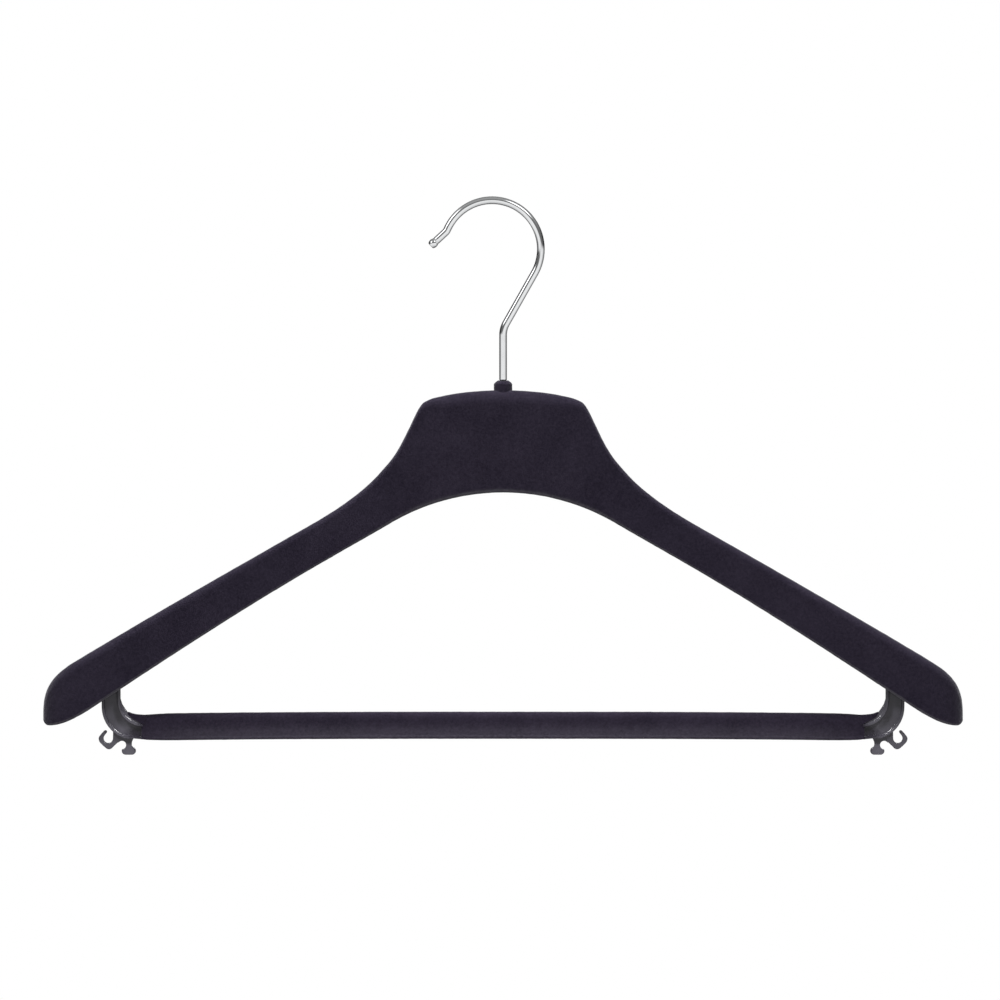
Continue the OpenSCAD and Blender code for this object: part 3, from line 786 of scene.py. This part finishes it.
def soften(mesh, passes, keep):
    """Rounds a mesh's edges and corners as a mould does, by a fine remesh and a little smoothing.
    keep is the share of its faces that it keeps."""
    piece = bpy.data.objects.new("soften", mesh)
    bpy.context.scene.collection.objects.link(piece)
    remesh = piece.modifiers.new("remesh", "REMESH")
    remesh.mode = "VOXEL"
    remesh.voxel_size = VOXEL * MM
    easing = piece.modifiers.new("easing", "SMOOTH")
    easing.factor = 0.5
    easing.iterations = passes
    fewer = piece.modifiers.new("fewer", "DECIMATE")
    fewer.ratio = keep
    graph = bpy.context.evaluated_depsgraph_get()
    result = bpy.data.meshes.new_from_object(piece.evaluated_get(graph))
    bpy.data.objects.remove(piece)
    return result


def mirrored(mesh):
    """The mesh mirrored across X = 0."""
    work = bmesh.new()
    work.from_mesh(mesh)
    bmesh.ops.scale(work, vec=(-1, 1, 1), verts=work.verts)
    bmesh.ops.reverse_faces(work, faces=work.faces)
    other = bpy.data.meshes.new("mirrored")
    work.to_mesh(other)
    work.free()
    return other


def joined(name, meshes, material):
    """One object of several meshes."""
    work = bmesh.new()
    for mesh in meshes:
        work.from_mesh(mesh)
    mesh = bpy.data.meshes.new(name)
    work.to_mesh(mesh)
    work.free()
    mesh.materials.clear()
    mesh.materials.append(material)
    for polygon in mesh.polygons:
        polygon.use_smooth = True
        polygon.material_index = 0
    piece = bpy.data.objects.new(name, mesh)
    bpy.context.scene.collection.objects.link(piece)
    return piece


def tuck_under_pile(mesh):
    """Draws the straight bar in where the pile over it is thin, so that it stays covered."""
    for vertex in mesh.vertices:
        x, _, z = vertex.co / MM
        if abs(x) <= COVERED:
            rise, drop = thinning(x)
            bottom = SLEEVE_LOW[2] + bar_lift(min(abs(x), BAR_END))
            vertex.co.z = min(max(z, bottom + rise), bottom + BAR_H - drop) * MM


def moulded_bar():
    """The whole bar: both ends finely rounded, and the middle that the velvet covers."""
    end = soften(cut_copy("trouser_bar", END_CUT, BAR_HIGH[0] + 1), passes=4, keep=0.32)
    middle = cut_copy("trouser_bar", -END_CUT - END_LAP, END_CUT + END_LAP)
    for mesh in (end, middle):
        tuck_under_pile(mesh)
    return joined("moulded_trouser_bar", [middle, end, mirrored(end)], BAR_PLASTIC)


# ---------------------------------------------------------------- hook

WIRE_R = 1.9
RAIL_R = 22.0  # inside the main bend
HOOK_LEAN = 29.5  # of the straight over the knee
BEND = (-5.4, -RAIL_R)  # centre of the main bend
BEND_END = 155  # direction from that centre to where the bend ends
KNEE_R = 12
LINK, TIP_R, TIP_TURN = 0.6, 5, 22.5  # short straight and reverse bend after the main bend
TIP_RUN = 5.8  # straight from the reverse bend to the bead
BEAD_L, BEAD_R, BEAD_CURVE = 3.7, 2.25, 3.0
JOURNAL_R, GROOVE_R = WIRE_R - 0.2, 1.3
GROOVE_TOP, GROOVE_FOOT = BOSS_FOOT - 0.9, BOSS_FOOT - 1.7
WIRE_SIDES, CLOSED_R = 40, 0.02  # the second is the radius of the small face that closes each end


def arc(centre, radius, start, sweep, step=1.5):
    """Points on an arc in the XZ plane, in degrees."""
    angles = np.radians(np.linspace(start, start + sweep, max(3, int(abs(sweep) / step) + 1)))
    return [(centre[0] + radius * math.cos(a), centre[1] + radius * math.sin(a)) for a in angles]


def wire_route():
    """Centreline of the wire in the XZ plane, from the foot of the knee to the last bend's end."""
    radius = RAIL_R + WIRE_R
    lean = math.radians(HOOK_LEAN)
    lean_x, lean_z = BEND[0] + radius * math.cos(lean), BEND[1] - radius * math.sin(lean)
    knee_z = lean_z - lean_x / math.tan(lean) - KNEE_R * math.tan(lean / 2)
    route = arc((KNEE_R, knee_z), KNEE_R, 180, -HOOK_LEAN)
    route += arc(BEND, radius, -HOOK_LEAN, BEND_END + HOOK_LEAN)
    end = math.radians(BEND_END)
    last = route[-1]
    centre = (last[0] - LINK * math.sin(end) + TIP_R * math.cos(end),
              last[1] + LINK * math.cos(end) + TIP_R * math.sin(end))
    route += arc(centre, TIP_R, BEND_END - 180, -TIP_TURN, 3)
    return route


def hook_wire():
    """One wire from the shank's end to the bead, swept as rings along its route."""
    shoulder = FLOCK_HIGH[2] + 0.1
    shank = [(SHANK_FOOT, CLOSED_R), (SHANK_FOOT, JOURNAL_R - 0.3), (SHANK_FOOT + 0.3, JOURNAL_R),
             (GROOVE_FOOT, JOURNAL_R), (GROOVE_FOOT, GROOVE_R), (GROOVE_TOP, GROOVE_R),
             (GROOVE_TOP, JOURNAL_R), (shoulder - 0.01, JOURNAL_R), (shoulder, WIRE_R - 0.12),
             (shoulder + 0.15, WIRE_R)]
    route = wire_route()
    first = route[0][1]
    shank += [(z, WIRE_R) for z in np.linspace(shoulder + 1, first - 0.2, 12)]
    centres = [(0, z) for z, _ in shank] + route
    radii = [r for _, r in shank] + [WIRE_R] * len(route)
    heading = math.radians(BEND_END - 180 - TIP_TURN - 90)
    ahead = (math.cos(heading), math.sin(heading))
    last = route[-1]
    for run, r in bead_outline():
        centres.append((last[0] + ahead[0] * run, last[1] + ahead[1] * run))
        radii.append(r)
    return sweep("hook_wire", centres, radii, PLATED)


def bead_outline():
    """(distance from the last bend, radius) over the tip's straight, the crease and the bead."""
    out = [(run, WIRE_R) for run in np.linspace(0.5, TIP_RUN - 0.25, 8)]
    out += [(TIP_RUN - 0.08, WIRE_R - 0.06), (TIP_RUN + 0.02, WIRE_R - 0.12),
            (TIP_RUN + 0.1, WIRE_R - 0.02)]
    for run in np.linspace(0.3, BEAD_L - 0.15, 12):
        bulge = math.sqrt(BEAD_CURVE**2 - (run - BEAD_L / 2) ** 2)
        out.append((TIP_RUN + run, BEAD_R - BEAD_CURVE + bulge))
    end, rim = TIP_RUN + BEAD_L, out[-1][1]
    return [*out, (end - 0.05, rim - 0.12), (end, rim - 0.35), (end, CLOSED_R)]


def sweep(name, centres, radii, material):
    """Tube in the XZ plane along centres, with a radius at each."""
    c = np.array(centres, float)
    ahead = np.gradient(c, axis=0)
    stuck = np.hypot(*ahead.T) < 1e-9
    ahead[stuck] = (0, 1)
    ahead /= np.hypot(*ahead.T)[:, None]
    points = []
    for (x, z), (tx, tz), r in zip(c, ahead, radii):
        for k in range(WIRE_SIDES):
            a = 2 * math.pi * k / WIRE_SIDES
            across, out = r * math.cos(a), r * math.sin(a)
            points.append((x + tz * across, out, z - tx * across))
    faces = grid_faces(len(c), WIRE_SIDES)
    faces += [tuple(range(WIRE_SIDES)), tuple(range(len(points) - WIRE_SIDES, len(points)))]
    return make_object(name, points, faces, material)


# ---------------------------------------------------------------- build


def dress(node, material):
    """Gives a CAD node that stays in view its material."""
    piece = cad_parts[node]
    piece.data.materials.clear()
    piece.data.materials.append(material)


def build():
    """Every piece, the body that it rides on, and the CAD nodes that it stands for."""
    coat = body_coat()
    wedges = bar_wedges()
    collar = collar_coat()
    sleeve = bar_sleeve()
    bar = moulded_bar()
    wire = hook_wire()
    for piece, body, slot in (
        (coat, "hanger", "velvet_flock"),
        (collar, "hanger", "velvet_flock"),
        (sleeve, "hanger", "bar_velvet"),
        (wedges, "hanger", "bar_velvet"),
        (bar, "hanger", "bar_plastic"),
        (wire, "hook", "plated_wire"),
    ):
        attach(piece, body)
    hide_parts("body_flock")
    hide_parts("bar_flock")
    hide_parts("trouser_bar")
    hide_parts("hook")
    dress("hanger_body", BODY_PLASTIC)
    dress("hook_washer", ZINC)
    dress("hook_lock_ring", SPRING)


build()


# ---------------------------------------------------------------- floor, light and world

FLOOR_DROP = 220  # under the object, so that the camera in front doesn't see it
FLOOR_RADIUS = 900
MIDDLE = (0, 0, -150)
# Soft lamps that light everything: (name, place, width and height, power)
LAMPS = [
    ("key_left", (-1300, -830, 870), (300, 300), 8),
    ("key_right", (700, -1450, 1150), (260, 260), 8),
    ("overhead", (0, -150, 1400), (1600, 900), 82),
    ("back_top", (0, 1300, 700), (1400, 500), 7),
    ("low_front", (0, -2000, -1000), (1500, 900), 18),
    ("under", (0, -250, -1300), (1600, 900), 5),
    ("back", (0, 2300, 100), (1500, 1200), 34),
]
GLINT_PLACE, GLINT_SIZE, GLINT_POWER = (850, -1100, 1100), (400, 400), 66
LAMP_CAPS = [(-0.70, -0.45, 0.55), (0.42, -0.62, 0.66)]  # directions that the wire mirrors bright
DIFFUSE_LIGHT = 0.36  # strength of the surroundings as they light matt surfaces


def make_floor():
    """Plain pale floor. Only the camera sees it, and only from above."""
    work = bmesh.new()
    bmesh.ops.create_circle(work, cap_ends=True, segments=96, radius=FLOOR_RADIUS * MM)
    mesh = bpy.data.meshes.new("floor")
    work.to_mesh(mesh)
    work.free()
    floor = bpy.data.objects.new("floor", mesh)
    floor.location.z = (FLOCK_LOW[2] - FLOOR_DROP) * MM
    floor.visible_glossy = floor.visible_diffuse = floor.visible_shadow = False
    bpy.context.scene.collection.objects.link(floor)
    material, n = new_material("floor_paper")
    grain = n.noise(n.place(), 1.2, 2)
    n.surface(n.mix(grain, (0.86, 0.86, 0.86), (0.9, 0.9, 0.9)), n.bump(grain, 0.02, 0.3), 0.9)
    n.hide_underside()
    mesh.materials.append(material)


def area_light(name, place, size, power):
    """Rectangular soft light that faces the object's middle and isn't seen in its reflections."""
    data = bpy.data.lights.new(name, "AREA")
    data.shape = "RECTANGLE"
    data.size, data.size_y = size[0] * MM, size[1] * MM
    data.energy = power
    light = bpy.data.objects.new(name, data)
    light.location = Vector(place) * MM
    light.rotation_euler = (Vector(MIDDLE) - Vector(place)).to_track_quat("-Z", "Y").to_euler()
    light.visible_glossy = False
    bpy.context.scene.collection.objects.link(light)
    return light


def make_lights():
    """The soft lamps, and two small ones that only the moulded bar sees and mirrors."""
    for lamp in LAMPS:
        area_light(*lamp)
    only_bar = bpy.data.collections.new("only_bar")
    only_bar.objects.link(bpy.data.objects["moulded_trouser_bar"])
    x, y, z = GLINT_PLACE
    for name, side in (("glint_left", -1), ("glint_right", 1)):
        glint = area_light(name, (side * x, y, z), GLINT_SIZE, GLINT_POWER)
        glint.visible_glossy = True
        glint.light_linking.receiver_collection = only_bar


def make_world():
    """White surroundings to the camera. What the object mirrors is a bright table and front, under
    a dim ceiling, before a dim back and between dimmer sides. Matt surfaces get an even light."""
    world = bpy.data.worlds.new("studio")
    bpy.context.scene.world = world
    world.use_nodes = True
    n = Nodes(world.node_tree)
    direction = n.add("ShaderNodeTexCoord").outputs["Generated"]
    x, y, z = n.axes(direction)
    tent = n.span(z, 0.02, 0.1, 0.92, 0.15)
    for dimming in (
        n.span(z, -1.0, -0.4, 0.72, 1.0),  # straight below
        n.span(y, -0.05, 0.4, 1.0, 0.17),  # back
        n.span(x, 0.8, 0.97, 1.0, 0.5),  # right
        n.span(x, -0.99, -0.86, 0.25, 1.0),  # left
    ):
        tent = n.math("MULTIPLY", tent, dimming)
    tent = n.math("ADD", tent, n.span(z, 0.3, 0.7, 0.0, 0.2))
    for aim in LAMP_CAPS:
        tent = n.math("ADD", tent, n.span(n.towards(direction, aim), 0.965, 0.99, 0, 3))
    paths = n.add("ShaderNodeLightPath").outputs
    diffuse = paths["Is Diffuse Ray"]
    tent = n.math("MULTIPLY", tent, n.math("SUBTRACT", 1, diffuse))
    tent = n.math("ADD", tent, n.math("MULTIPLY", diffuse, DIFFUSE_LIGHT))
    lit = n.add("ShaderNodeBackground")
    n.link(tent, lit.inputs["Strength"])
    seen = n.add("ShaderNodeBackground")
    seen.inputs["Strength"].default_value = 1.0
    for node in (lit, seen):
        node.inputs["Color"].default_value = (1, 1, 1, 1)
    mixed = n.add("ShaderNodeMixShader")
    n.link(paths["Is Camera Ray"], mixed.inputs[0])
    n.link(lit.outputs[0], mixed.inputs[1])
    n.link(seen.outputs[0], mixed.inputs[2])
    out = n.add("ShaderNodeOutputWorld")
    n.link(mixed.outputs[0], out.inputs["Surface"])


make_floor()
make_lights()
make_world()
bpy.context.scene.view_settings.view_transform = "Standard"
